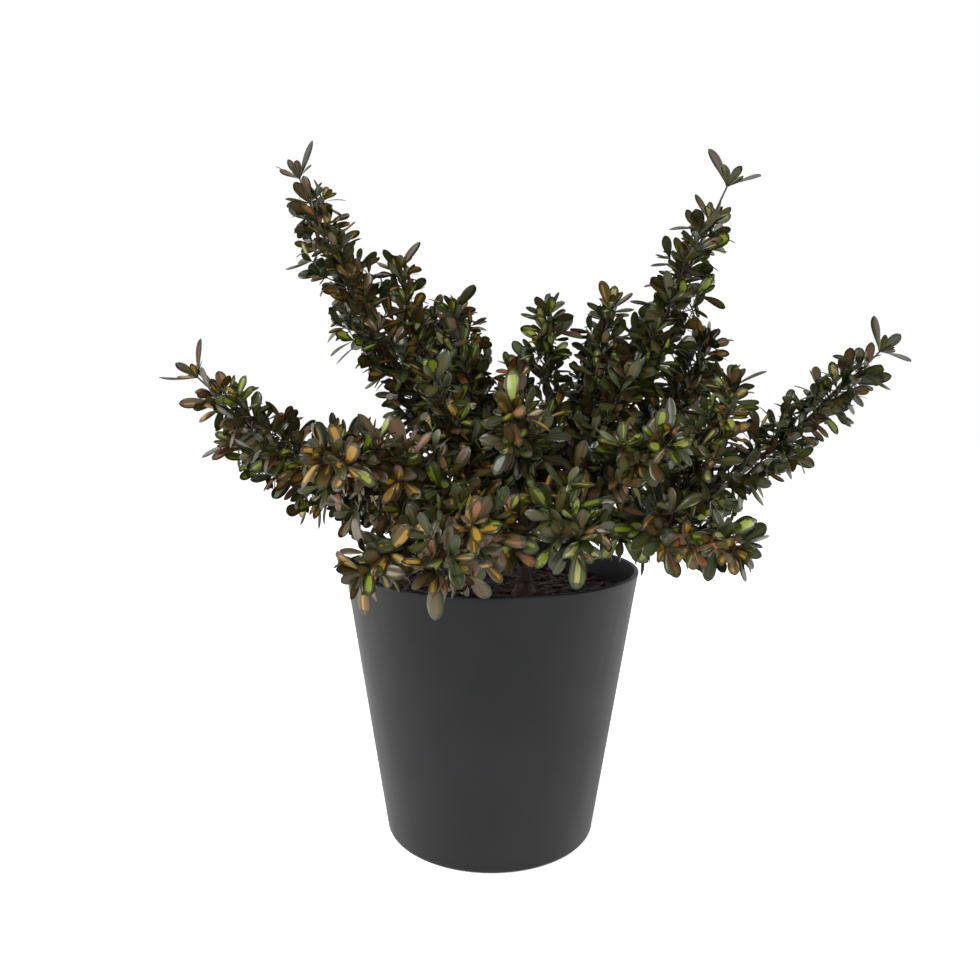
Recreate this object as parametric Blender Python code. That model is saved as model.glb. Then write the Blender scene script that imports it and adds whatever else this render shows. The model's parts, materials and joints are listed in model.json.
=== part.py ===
"""Potted evening glow coprosma: a small-leaved shrub with long arms, in a plain plastic pot.

Metres, +Z up. The origin is the middle of the pot's flat underside. The plant is seen from
the front along +Y, with +X to the right.
"""
import math
import random
from functools import partial
from typing import NamedTuple

import bmesh
import bpy
from mathutils import Matrix, Vector
from mathutils.bvhtree import BVHTree

# Neighbouring solids stay this far apart
CLEARANCE = 0.0003

# The pot is a tapered tub, 200 mm across its rim
POT_HEIGHT = 0.1836
POT_RIM_RADIUS = 0.100
POT_FOOT_RADIUS = 0.0716
POT_WALL = 0.0028
POT_FLOOR = 0.004
POT_FOOT_ROUNDING = 0.003
POT_SIDES = 40

# The potting mix fills it to 15 mm below the rim, with a flat middle for the stem's foot
MIX_BELOW_RIM = 0.015
MIX_FALL = 0.002
MIX_FLAT_RADIUS = 0.045
MIX_TOP = POT_HEIGHT - MIX_BELOW_RIM

# The main stem, off the pot's middle, from its flat cut on the mix to its fork
TRUNK_FOOT = Vector((0.0215, -0.022, MIX_TOP + CLEARANCE))
TRUNK_RISE = 0.074
TRUNK_LEAN = Vector((-0.002, 0.010, 0.0))
TRUNK_FOOT_RADIUS = 0.0045
TRUNK_TOP_RADIUS = 0.0034
TRUNK_FLARE = 0.0040
TRUNK_FLARE_HEIGHT = 0.0045
TRUNK_SIDES = 12

# Boughs taper from their fork to the tip of their arm
BOUGH_RADIUS = 0.0023
FORK_RADIUS = 0.0016
TIP_RADIUS = 0.0006
BOUGH_SIDES = 6
BOUGH_STEP = 0.025
WANDER = 0.003
WANDER_TURNS = 1.3

# Foliage: pairs of side twigs along each stem, five leaves on a twig
NODE_SPACING = 0.044
FIRST_TWIG = 0.45
TWIG_RADIUS = 0.0009
TWIG_END_RADIUS = 0.0007
TWIG_ANGLE = math.radians(58)
TWIG_SHORTEST = 0.009
LEAF_LENGTH = 0.032
LEAF_WIDTH = 0.0185
LEAF_THICKNESS = 0.024
LEAF_WIDEST = 0.64
LEAF_KEEL = 0.36
LEAF_FOLD = 0.10
LEAF_DROOP = 0.06
LEAF_PAIRS = ((0.45, math.radians(74), 0.80), (0.80, math.radians(46), 0.92))
LEAF_END_SUNK = 0.0008
PROBE_START = 0.0030
PROBE_MARGIN = 0.0006


class Arm(NamedTuple):
    """An arm of the shrub, from its fork to its furthest tip.

    heading is in degrees, 0 to the right and 90 to the back. knee and tip are (reach from
    the main stem, height over the mix); the arm leaves towards its knee and ends at its tip.
    fork and bare are shares of the parent's and of the arm's own line.
    """
    name: str
    parent: str
    fork: float
    heading: float
    knee: tuple
    tip: tuple
    bare: float
    spread: float


ARMS = [
    Arm("upper_left", "trunk", 0.74, 167, (0.090, 0.118), (0.158, 0.276), 0.32, 0.031),
    Arm("left", "trunk", 0.41, 183, (0.115, 0.050), (0.210, 0.140), 0.36, 0.029),
    Arm("upper_right", "trunk", 0.58, 8, (0.052, 0.088), (0.132, 0.268), 0.38, 0.029),
    Arm("right", "trunk", 0.41, -1, (0.125, 0.048), (0.226, 0.160), 0.42, 0.030),
    Arm("upper_left_inner", "upper_left", 0.26, 152, (0.080, 0.140), (0.100, 0.216), 0.28, 0.025),
    Arm("left_low", "left", 0.32, 171, (0.145, 0.062), (0.202, 0.097), 0.16, 0.027),
    Arm("centre_left_back", "trunk", 0.86, 141, (0.045, 0.100), (0.062, 0.188), 0.28, 0.027),
    Arm("right_back", "upper_right", 0.32, 20, (0.112, 0.112), (0.135, 0.168), 0.20, 0.026),
    Arm("right_upper", "right", 0.36, -5, (0.122, 0.080), (0.130, 0.136), 0.16, 0.026),
    Arm("centre_right", "trunk", 0.83, 58, (0.028, 0.098), (0.028, 0.184), 0.24, 0.027),
    Arm("centre_right_back", "trunk", 0.70, 40, (0.054, 0.095), (0.079, 0.192), 0.34, 0.028),
    Arm("front_left", "trunk", 0.51, -138, (0.070, 0.080), (0.148, 0.096), 0.32, 0.031),
    Arm("front_left_low", "trunk", 0.24, -112, (0.078, 0.070), (0.132, 0.040), 0.38, 0.031),
    Arm("front_left_end", "front_left_low", 0.28, -128, (0.090, 0.064), (0.142, 0.036), 0.24, 0.029),
    Arm("front_right_low", "trunk", 0.27, -31, (0.080, 0.066), (0.138, 0.044), 0.38, 0.031),
    Arm("front", "trunk", 0.39, -74, (0.055, 0.078), (0.096, 0.050), 0.38, 0.029),
    Arm("front_right", "trunk", 0.48, -40, (0.050, 0.080), (0.102, 0.104), 0.30, 0.030),
    Arm("centre_left", "trunk", 0.64, -161, (0.042, 0.080), (0.062, 0.140), 0.30, 0.028),
    Arm("centre_front", "trunk", 0.78, -100, (0.030, 0.092), (0.058, 0.120), 0.28, 0.028),
    Arm("leader", "trunk", 1.00, 101, (0.020, 0.109), (0.028, 0.148), 0.00, 0.025),
    Arm("back", "trunk", 0.46, 95, (0.075, 0.060), (0.155, 0.126), 0.38, 0.031),
    Arm("back_left", "trunk", 0.27, 145, (0.100, 0.050), (0.176, 0.096), 0.40, 0.031),
    Arm("back_right", "trunk", 0.34, 62, (0.080, 0.065), (0.160, 0.156), 0.42, 0.031),
    Arm("upper_back", "back", 0.30, 122, (0.078, 0.120), (0.126, 0.190), 0.26, 0.030),
    Arm("back_right_low", "back_right", 0.32, 36, (0.125, 0.070), (0.182, 0.108), 0.20, 0.030),
]
ARM_NAMED = {arm.name: arm for arm in ARMS}


def clear_scene():
    for thing in list(bpy.data.objects):
        bpy.data.objects.remove(thing, do_unlink=True)


def material(name, colour, roughness, metallic=0.0):
    made = bpy.data.materials.new(name)
    made.use_nodes = True
    shader = made.node_tree.nodes["Principled BSDF"]
    shader.inputs["Base Color"].default_value = (*colour, 1.0)
    shader.inputs["Roughness"].default_value = roughness
    shader.inputs["Metallic"].default_value = metallic
    made.diffuse_color = (*colour, 1.0)
    return made


def solid(name, points, faces, finish):
    """A closed solid in an object of its own, with its faces pointing out."""
    mesh = bpy.data.meshes.new(name)
    mesh.from_pydata([tuple(point) for point in points], [], faces)
    shape = bmesh.new()
    shape.from_mesh(mesh)
    bmesh.ops.recalc_face_normals(shape, faces=shape.faces)
    shape.to_mesh(mesh)
    shape.free()
    mesh.materials.append(finish)
    thing = bpy.data.objects.new(name, mesh)
    bpy.context.scene.collection.objects.link(thing)
    return thing


def shade_round(thing):
    thing.data.shade_smooth()
    thing.data.set_sharp_from_angle(angle=math.radians(40))


# Turned pieces: the pot and the potting mix

def turned(name, profile, sides, finish):
    """Turns a profile of (radius, height), from the axis round to the axis, into a solid."""
    points = [Vector((0, 0, profile[0][1]))]
    for radius, height in profile[1:-1]:
        for k in range(sides):
            turn = 2 * math.pi * k / sides
            points.append(Vector((radius * math.cos(turn), radius * math.sin(turn), height)))
    points.append(Vector((0, 0, profile[-1][1])))
    last = len(points) - 1
    rings = len(profile) - 2
    faces = []
    for k in range(sides):
        after = (k + 1) % sides
        faces.append((0, 1 + k, 1 + after))
        faces.append((last, 1 + (rings - 1) * sides + k, 1 + (rings - 1) * sides + after))
        for ring in range(rings - 1):
            low = 1 + ring * sides
            high = low + sides
            faces.append((low + k, low + after, high + after, high + k))
    thing = solid(name, points, faces, finish)
    shade_round(thing)
    return thing


def pot_radius(height):
    share = height / POT_HEIGHT
    return POT_FOOT_RADIUS + (POT_RIM_RADIUS - POT_FOOT_RADIUS) * share


def make_pot(finish):
    """A thin tapered wall with a rounded foot and a rounded rim, on a flat floor."""
    rounding = POT_FOOT_ROUNDING
    profile = [(0, 0), (pot_radius(0) - rounding, 0)]
    for k in range(1, 3):
        turn = math.pi / 2 * k / 2
        out = pot_radius(rounding) - rounding * (1 - math.sin(turn))
        profile.append((out, rounding * (1 - math.cos(turn))))
    half = POT_WALL / 2
    for k in range(5):
        turn = math.pi * k / 4
        out = POT_RIM_RADIUS - half + half * math.cos(turn)
        profile.append((out, POT_HEIGHT - half + half * math.sin(turn)))
    profile.append((pot_radius(POT_FLOOR) - POT_WALL, POT_FLOOR))
    profile.append((0, POT_FLOOR))
    return turned("pot", profile, POT_SIDES, finish)


def make_potting_mix(finish):
    """The fill of the pot, clear of its wall, falling a little from its middle to its edge."""
    low = POT_FLOOR + CLEARANCE
    edge = MIX_TOP - MIX_FALL
    inset = POT_WALL + 2 * CLEARANCE
    profile = [
        (0, low),
        (pot_radius(low) - inset, low),
        (pot_radius(edge) - inset, edge),
        (MIX_FLAT_RADIUS, MIX_TOP),
        (0, MIX_TOP),
    ]
    return turned("potting_mix", profile, POT_SIDES, finish)


# The lines of the main stem and of the arms

def trunk_point(share):
    """The middle of the main stem at a share of its rise; it stands upright at its foot."""
    rise = Vector((0, 0, TRUNK_RISE * share))
    return TRUNK_FOOT + rise + TRUNK_LEAN * share ** 2


def trunk_radius(share):
    taper = TRUNK_FOOT_RADIUS + (TRUNK_TOP_RADIUS - TRUNK_FOOT_RADIUS) * share
    return taper + TRUNK_FLARE * math.exp(-TRUNK_RISE * share / TRUNK_FLARE_HEIGHT)


def placed(arm, reach, rise):
    """The point at a reach and height on the arm's heading."""
    turn = math.radians(arm.heading)
    foot = Vector((TRUNK_FOOT.x, TRUNK_FOOT.y, MIX_TOP))
    return foot + Vector((reach * math.cos(turn), reach * math.sin(turn), rise))


def arm_point(arm, share):
    """The arm's line: a bend towards its knee and on to its tip, wandering a little."""
    if arm.parent == "trunk":
        start = trunk_point(arm.fork)
    else:
        start = arm_point(ARM_NAMED[arm.parent], arm.fork)
    knee = placed(arm, *arm.knee)
    tip = placed(arm, *arm.tip)
    rest = 1 - share
    point = start * rest ** 2 + knee * (2 * share * rest) + tip * share ** 2
    turn = math.radians(arm.heading)
    aside = Vector((-math.sin(turn), math.cos(turn), 0.4))
    swing = math.sin(2 * math.pi * WANDER_TURNS * share + turn) - math.sin(turn)
    return point + aside * (WANDER * share * rest * 4 * swing)


def arm_radius(arm, share):
    base = BOUGH_RADIUS if arm.parent == "trunk" else FORK_RADIUS
    return base + (TIP_RADIUS - base) * share ** 0.8


def steps(function, start, end, step):
    """Shares of a line from start to end, about a step apart."""
    coarse = [function(start + (end - start) * k / 24) for k in range(25)]
    length = sum((b - a).length for a, b in zip(coarse, coarse[1:]))
    count = max(2, round(length / step))
    return [start + (end - start) * k / count for k in range(count + 1)]


def direction(function, share):
    """Which way a line runs at a share of it."""
    return (function(share + 0.001) - function(share - 0.001)).normalized()


def tube_shape(points, ways, radii, sides):
    """(points, faces) of a round bar along a line, with flat ends; its rings don't twist."""
    corners = []
    across = ways[0].orthogonal().normalized()
    for point, way, radius in zip(points, ways, radii):
        across = (across - way * across.dot(way)).normalized()
        up = way.cross(across)
        for side in range(sides):
            turn = 2 * math.pi * side / sides
            corners.append(point + (across * math.cos(turn) + up * math.sin(turn)) * radius)
    faces = [tuple(reversed(range(sides)))]
    for ring in range(len(points) - 1):
        for side in range(sides):
            low = ring * sides
            after = (side + 1) % sides
            faces.append((low + side, low + after, low + sides + after, low + sides + side))
    faces.append(tuple(range((len(points) - 1) * sides, len(points) * sides)))
    return corners, faces


def limb_shape(function, shares, radius, sides):
    """A tube along a line at these shares of it, with a radius for each share."""
    points = [function(share) for share in shares]
    ways = [direction(function, share) for share in shares]
    return tube_shape(points, ways, [radius(share) for share in shares], sides)


# Limbs

def trunk_shape(extra=0.0):
    shares = [0, 0.04, 0.10, 0.20, 0.36, 0.52, 0.68, 0.84, 1.0]
    return limb_shape(trunk_point, shares, lambda share: trunk_radius(share) + extra, TRUNK_SIDES)


def bough_shape(arm, extra=0.0):
    function = partial(arm_point, arm)
    shares = steps(function, 0.0, arm.bare, BOUGH_STEP)
    return limb_shape(function, shares, lambda share: arm_radius(arm, share) + extra, BOUGH_SIDES)


def applied(thing):
    """Turns an object's modifiers into its mesh."""
    graph = bpy.context.evaluated_depsgraph_get()
    mesh = bpy.data.meshes.new_from_object(thing.evaluated_get(graph))
    old = thing.data
    thing.modifiers.clear()
    thing.data = mesh
    mesh.name = thing.name
    bpy.data.meshes.remove(old)


def keep_largest(thing):
    """Drops loose scraps and the inner skins of sealed hollows, which fills them."""
    shape = bmesh.new()
    shape.from_mesh(thing.data)
    shape.faces.ensure_lookup_table()
    seen = set()
    groups = []
    for face in shape.faces:
        if face.index in seen:
            continue
        group = []
        waiting = [face]
        seen.add(face.index)
        while waiting:
            here = waiting.pop()
            group.append(here)
            for edge in here.edges:
                for other in edge.link_faces:
                    if other.index not in seen:
                        seen.add(other.index)
                        waiting.append(other)
        groups.append(group)
    groups.sort(key=len, reverse=True)
    for group in groups[1:]:
        bmesh.ops.delete(shape, geom=group, context="FACES")
    shape.to_mesh(thing.data)
    shape.free()


def cut_clear(thing, shape, finish):
    """Cuts an object back from its parent limb, given as that limb's shape grown a little."""
    cutter = solid("cutter", *shape, finish)
    cutter.hide_render = True
    cutter.display_type = "WIRE"
    cut = thing.modifiers.new("seat", "BOOLEAN")
    cut.operation = "DIFFERENCE"
    cut.solver = "EXACT"
    cut.object = cutter
    applied(thing)
    bpy.data.objects.remove(cutter, do_unlink=True)
    keep_largest(thing)


def make_bough(arm, finish):
    """One tapering limb, seated on the limb that it forks from."""
    thing = solid("bough_" + arm.name, *bough_shape(arm), finish)
    if arm.parent == "trunk":
        cut_clear(thing, trunk_shape(CLEARANCE), finish)
    else:
        cut_clear(thing, bough_shape(ARM_NAMED[arm.parent], CLEARANCE), finish)
    return thing


# Foliage

def stem_start(arm):
    """The share of the arm where its foliage's stem begins, just clear of the limb's tip."""
    pace = (arm_point(arm, arm.bare + 0.001) - arm_point(arm, arm.bare)).length / 0.001
    return arm.bare + CLEARANCE / pace


def twig_places(arm):
    """The shares of the arm where its side twigs stand, two to a node spacing."""
    count = 2 * (len(steps(partial(arm_point, arm), arm.bare, 1.0, NODE_SPACING)) - 1)
    return [arm.bare + (1 - arm.bare) * (k + FIRST_TWIG) / count for k in range(count)]


def stem_shape(arm):
    """The stem of an arm's foliage, with a ring wherever a twig leaves it."""
    shares = [stem_start(arm), *twig_places(arm), 1.0]
    return limb_shape(partial(arm_point, arm), shares, partial(arm_radius, arm), 3)


def twig_shape(start, way, length, radii):
    return tube_shape([start, start + way * length], [way, way], radii, 3)


LEAF_FACES = [(0, 1, 4), (1, 3, 4), (3, 2, 4), (2, 0, 4), (1, 0, 5), (3, 1, 5), (2, 3, 5), (0, 2, 5)]


def leaf_shape(root, along, upward, length, extra=0.0):
    """A folded kite of eight faces: root, two shoulders, tip, and the keel's two sides."""
    across = along.cross(upward).normalized()
    up = across.cross(along).normalized()
    width = length * LEAF_WIDTH / LEAF_LENGTH
    widest = root + along * (length * LEAF_WIDEST)
    keel = root + along * (length * LEAF_KEEL) - up * (width * LEAF_FOLD)
    half = up * (length * LEAF_THICKNESS / 2 + extra)
    aside = across * (width / 2 + extra)
    tip = root + along * (length + extra) - up * (length * LEAF_DROOP)
    return [root, widest + aside, widest - aside, tip, keel + half, keel - half], LEAF_FACES


def leaf_probe(root, along, upward, length):
    """The leaf without its root, grown a little, to try its place with."""
    start = root + along * PROBE_START
    return leaf_shape(start, along, upward, length - PROBE_START, PROBE_MARGIN)


def tree_of(shape):
    return BVHTree.FromPolygons([tuple(point) for point in shape[0]], shape[1])


def is_free(probe, trees):
    tried = tree_of(probe)
    return not any(tree.overlap(tried) for tree in trees)


def foliage_line(arm):
    return [arm_point(arm, arm.bare + (1 - arm.bare) * k / 10) for k in range(11)]


LINES = {arm.name: foliage_line(arm) for arm in ARMS}


def nearness(arm, point):
    """The distance from an arm's foliage line in widths of that foliage."""
    return min((point - spot).length for spot in LINES[arm.name]) / arm.spread


def in_own_space(arm, point):
    """True where a point is within the arm's spread and nearer to it than to its neighbours."""
    mine = nearness(arm, point)
    if mine > 1.25:
        return False
    return all(mine <= nearness(other, point) for other in ARMS if other is not arm)


def fullness(share):
    """How far the foliage stands out along its stem: full from its foot, narrow at its tip."""
    return min(1.0, 0.75 + share) * (1 - 0.55 * share ** 3)


def turned_about(axis, angle, vector):
    return Matrix.Rotation(angle, 3, axis) @ vector


class Foliage:
    """The stem, twigs and leaves of one arm while they grow."""

    def __init__(self, arm, obstacles):
        self.arm = arm
        self.obstacles = obstacles
        self.random = random.Random("foliage " + arm.name)
        self.shapes = [stem_shape(arm)]
        self.trees = [tree_of(self.shapes[0])]

    def add(self, shape, probe):
        """Keeps a shape where its probe meets nothing, and tells whether it was kept."""
        if not is_free(probe, self.obstacles + self.trees):
            return False
        self.shapes.append(shape)
        self.trees.append(tree_of(probe))
        return True

    def leaf(self, root, along, upward, length):
        if in_own_space(self.arm, root + along * length):
            shape = leaf_shape(root, along, upward, length)
            self.add(shape, leaf_probe(root, along, upward, length))

    def twig(self, start, way, along, length):
        """A side twig with a leaf at its end and two pairs of leaves below it."""
        if not in_own_space(self.arm, start + way * length):
            return
        shape = twig_shape(start, way, length, [TWIG_RADIUS, TWIG_END_RADIUS])
        grown = [TWIG_RADIUS + PROBE_MARGIN] * 2
        clear = start + way * (length * 0.5)
        if not self.add(shape, twig_shape(clear, way, length * 0.5, grown)):
            return
        outward = (way - along * way.dot(along)).normalized()
        size = LEAF_LENGTH * self.random.uniform(0.86, 1.0)
        upward = turned_about(way, self.random.uniform(-1.0, 1.0), along)
        self.leaf(start + way * (length - LEAF_END_SUNK), way, upward, size)
        lift = self.random.choice((-0.5, 0.5))
        for place, angle, share in LEAF_PAIRS:
            for side in (-1, 1):
                out = turned_about(along, side * angle, way)
                out = (out + along * (lift * side + self.random.uniform(-0.1, 0.3))).normalized()
                facing = outward + along * self.random.uniform(0.2, 0.8)
                size = LEAF_LENGTH * share * self.random.uniform(0.9, 1.05)
                self.leaf(start + way * (length * place), out, facing, size)
            lift = -lift

    def grow(self):
        arm = self.arm
        roll = self.random.uniform(0, math.pi)
        for k, share in enumerate(twig_places(arm)):
            part = (share - arm.bare) / (1 - arm.bare)
            point = arm_point(arm, share)
            along = direction(partial(arm_point, arm), share)
            out = turned_about(along, roll, along.orthogonal().normalized())
            stand = arm.spread * fullness(part) * self.random.uniform(0.85, 1.1)
            way = along * math.cos(TWIG_ANGLE) + out * math.sin(TWIG_ANGLE)
            stretch = (stand - 0.8 * LEAF_LENGTH) / math.sin(TWIG_ANGLE)
            self.twig(point, way, along, max(TWIG_SHORTEST, stretch))
            roll += math.pi if k % 2 == 0 else math.pi / 2
            roll += self.random.uniform(-0.3, 0.3)
        tip = arm_point(arm, 1.0)
        along = (tip - arm_point(arm, 0.97)).normalized()
        side = along.orthogonal().normalized()
        self.leaf(tip - along * LEAF_END_SUNK, along, side, LEAF_LENGTH * 0.8)
        for k in range(3):
            out = turned_about(along, roll + 2 * math.pi * k / 3, side)
            way = (along + out * 1.3).normalized()
            self.leaf(tip - along * 0.004, way, along, LEAF_LENGTH * 0.8)


def fused(name, shapes, finish):
    """Joins a stem, its twigs and its leaves into one solid."""
    stem = solid(name, *shapes[0], finish)
    group = bpy.data.collections.new(name)
    bpy.context.scene.collection.children.link(group)
    for shape in shapes[1:]:
        piece = solid("piece", *shape, finish)
        bpy.context.scene.collection.objects.unlink(piece)
        group.objects.link(piece)
    join = stem.modifiers.new("fuse", "BOOLEAN")
    join.operation = "UNION"
    join.solver = "EXACT"
    join.operand_type = "COLLECTION"
    join.collection = group
    applied(stem)
    for piece in list(group.objects):
        bpy.data.objects.remove(piece, do_unlink=True)
    bpy.data.collections.remove(group)
    keep_largest(stem)
    return stem


def shape_of(thing):
    mesh = thing.data
    return [vertex.co.copy() for vertex in mesh.vertices], [tuple(p.vertices) for p in mesh.polygons]


def build():
    clear_scene()
    plastic = material("charcoal_plastic", (0.030, 0.032, 0.034), 0.55)
    mix = material("potting_mix", (0.018, 0.014, 0.011), 0.95)
    bark = material("bark", (0.070, 0.042, 0.030), 0.80)
    leaves = material("foliage", (0.060, 0.075, 0.020), 0.35)

    limbs = [make_pot(plastic), make_potting_mix(mix)]
    trunk = solid("trunk", *trunk_shape(), bark)
    limbs.append(trunk)
    for arm in ARMS:
        if arm.bare > 0:
            limbs.append(make_bough(arm, bark))
    for limb in limbs[2:]:
        shade_round(limb)

    limb_trees = [tree_of(shape_of(limb)) for limb in limbs]
    stem_trees = {arm.name: tree_of(stem_shape(arm)) for arm in ARMS}
    done = []
    for arm in ARMS:
        others = [tree for name, tree in stem_trees.items() if name != arm.name]
        foliage = Foliage(arm, limb_trees + others + done)
        foliage.grow()
        mass = fused("foliage_" + arm.name, foliage.shapes, leaves)
        done.append(tree_of(shape_of(mass)))


build()
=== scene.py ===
"""Looks of the potted evening glow coprosma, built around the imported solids.

Metres, +Z up. The origin is the middle of the pot's flat underside, +X is to the right and +Y
to the back as the photograph shows the plant. Each section makes one piece of the object, or
one group of like pieces, from the pot up to the leaves. The floor, light and camera come last.
"""

import json
import math
import random
from functools import partial
from typing import NamedTuple

import bpy
import numpy as np
from mathutils import Matrix, Vector

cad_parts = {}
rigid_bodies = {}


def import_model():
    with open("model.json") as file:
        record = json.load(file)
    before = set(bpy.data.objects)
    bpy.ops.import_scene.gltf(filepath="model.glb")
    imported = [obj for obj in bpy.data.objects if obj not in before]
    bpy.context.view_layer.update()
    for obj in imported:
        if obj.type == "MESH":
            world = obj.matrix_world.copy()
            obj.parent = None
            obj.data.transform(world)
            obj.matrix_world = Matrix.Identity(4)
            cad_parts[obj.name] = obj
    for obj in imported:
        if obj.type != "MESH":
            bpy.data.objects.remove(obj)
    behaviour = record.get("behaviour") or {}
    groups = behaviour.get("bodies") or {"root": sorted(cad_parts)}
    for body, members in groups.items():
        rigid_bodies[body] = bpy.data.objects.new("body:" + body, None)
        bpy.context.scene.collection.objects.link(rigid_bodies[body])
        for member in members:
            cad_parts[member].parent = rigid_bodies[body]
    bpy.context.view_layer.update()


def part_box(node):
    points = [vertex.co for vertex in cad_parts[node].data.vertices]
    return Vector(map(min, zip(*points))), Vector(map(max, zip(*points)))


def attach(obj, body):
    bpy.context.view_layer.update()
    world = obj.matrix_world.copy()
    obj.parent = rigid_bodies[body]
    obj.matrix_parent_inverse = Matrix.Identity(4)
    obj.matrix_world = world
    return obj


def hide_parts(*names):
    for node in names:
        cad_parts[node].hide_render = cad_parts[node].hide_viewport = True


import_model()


# The pot: a tapered tub of moulded polypropylene, charcoal, with a thin rounded rim.
# It is one turned surface, a little rounded at its foot, and it holds the potting mix.

POT_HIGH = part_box("pot")[1]
POT_HEIGHT = POT_HIGH.z
POT_RIM_RADIUS = POT_HIGH.x
POT_FOOT_RADIUS = 0.0716
POT_WALL = 0.0028
POT_FLOOR = 0.004
FOOT_ROUNDING = 0.003
UNDERSIDE_RINGS = (0.004, 0.045)
WALL_START = 0.012
RIM_DEPTH = 0.004
FOOT_RINGS = 7
WALL_RINGS = 24
RIM_RINGS = 13
INSIDE_RINGS = 16
POT_SIDES = 144
POT_CREASE = math.radians(50)
CLOUD_SIZE = 0.050
GRAIN_SIZE = 0.0006
SCUFF_SIZE = 0.012
SCUFF_DRAWN = (1, 1, 0.25)


def linear(colour):
    """A colour written as sRGB hex, such as "#34363a", as linear red, green, blue and alpha."""
    parts = [int(colour[k:k + 2], 16) / 255 for k in (1, 3, 5)]
    return (*[(v / 12.92 if v <= 0.04045 else ((v + 0.055) / 1.055) ** 2.4) for v in parts], 1.0)


def node(tree, kind, stops=(), **sockets):
    """Adds a shader node.

    A socket's name has _ for a space, and its value may be another node's output. stops are
    the (place, sRGB hex) pairs of a colour ramp.
    """
    made = tree.nodes.new("ShaderNode" + kind)
    for name, value in sockets.items():
        socket = made.inputs[name.replace("_", " ")]
        if isinstance(value, bpy.types.NodeSocket):
            tree.links.new(value, socket)
        else:
            socket.default_value = value
    if stops:
        band = made.color_ramp
        while len(band.elements) < len(stops):
            band.elements.new(0.5)
        for element, (place, colour) in zip(band.elements, stops):
            element.position = place
            element.color = linear(colour)
    return made


def finish(name, **sockets):
    """A material with one Principled shader, its sockets set; returns it, its tree and shader."""
    made = bpy.data.materials.new(name)
    made.use_nodes = True
    shader = made.node_tree.nodes["Principled BSDF"]
    for key, value in sockets.items():
        shader.inputs[key.replace("_", " ")].default_value = value
    return made, made.node_tree, shader


def grid(rows, columns, wrap=False):
    """Corner indices of the quads of a rows by columns grid of points, closed round if wrap."""
    across = columns if wrap else columns - 1
    row, column = np.meshgrid(np.arange(rows - 1), np.arange(across), indexing="ij")
    after = (column + 1) % columns
    low = row * columns
    high = low + columns
    return np.stack([low + column, low + after, high + after, high + column], -1).reshape(-1, 4)


def mesh_piece(name, points, quads, finishes, caps=(), kinds=None):
    """A smooth mesh that rides with the plant.

    points and quads make it, with any end caps. kinds picks one of the finishes for each quad.
    """
    points = np.asarray(points, float).reshape(-1, 3)
    corners = np.concatenate([quads.ravel(), *[np.asarray(cap) for cap in caps]])
    totals = np.concatenate([np.full(len(quads), 4), [len(cap) for cap in caps]]).astype(int)
    mesh = bpy.data.meshes.new(name)
    mesh.vertices.add(len(points))
    mesh.vertices.foreach_set("co", points.ravel())
    mesh.loops.add(len(corners))
    mesh.loops.foreach_set("vertex_index", corners.astype(np.int32))
    mesh.polygons.add(len(totals))
    mesh.polygons.foreach_set("loop_start", np.concatenate([[0], np.cumsum(totals)[:-1]]))
    mesh.polygons.foreach_set("loop_total", totals)
    for made in finishes:
        mesh.materials.append(made)
    if kinds is not None:
        mesh.polygons.foreach_set("material_index", np.asarray(kinds, np.int32))
    mesh.update(calc_edges=True)
    mesh.shade_smooth()
    thing = bpy.data.objects.new(name, mesh)
    bpy.context.scene.collection.objects.link(thing)
    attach(thing, "root")
    return thing


def turned(profile, sides):
    """Points, quads and caps of a profile of (radius, height) turned round the upright axis.

    Ring k of the surface is the profile's point k at angles of 0 to 360 degrees, and its first
    and last rings are closed by flat caps.
    """
    profile = np.asarray(profile, float)
    angle = np.linspace(0, 2 * np.pi, sides, endpoint=False)
    radius, height = profile[:, :1], profile[:, 1:]
    points = np.stack([radius * np.cos(angle), radius * np.sin(angle), height + 0 * angle], -1)
    last = (len(profile) - 1) * sides + np.arange(sides)
    return points, grid(len(profile), sides, wrap=True), [np.arange(sides)[::-1], last]


def pot_radius(height):
    """The pot's outer radius at a height: straight from the foot to the rim."""
    return POT_FOOT_RADIUS + (POT_RIM_RADIUS - POT_FOOT_RADIUS) * height / POT_HEIGHT


def pot_profile():
    """The pot's wall: out along the underside, up, over the rim, down inside and in.

    The foot is a quarter circle and the rim a half circle; the rest is straight.
    """
    turn = np.linspace(0, np.pi / 2, FOOT_RINGS)
    foot_out = pot_radius(FOOT_ROUNDING) - FOOT_ROUNDING * (1 - np.sin(turn))
    foot = np.stack([foot_out, FOOT_ROUNDING * (1 - np.cos(turn))], -1)
    rise = np.linspace(WALL_START, POT_HEIGHT - RIM_DEPTH, WALL_RINGS)
    wall = np.stack([pot_radius(rise), rise], -1)
    half = POT_WALL / 2
    over = np.linspace(0, np.pi, RIM_RINGS)
    rim = np.stack([POT_RIM_RADIUS - half + half * np.cos(over),
                    POT_HEIGHT - half + half * np.sin(over)], -1)
    fall = np.linspace(POT_HEIGHT - RIM_DEPTH, POT_FLOOR, INSIDE_RINGS)
    inner = np.stack([pot_radius(fall) - POT_WALL, fall], -1)
    underside = [(ring, 0) for ring in UNDERSIDE_RINGS]
    return np.concatenate([underside, foot, wall, rim, inner, [(UNDERSIDE_RINGS[0], POT_FLOOR)]])


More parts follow.
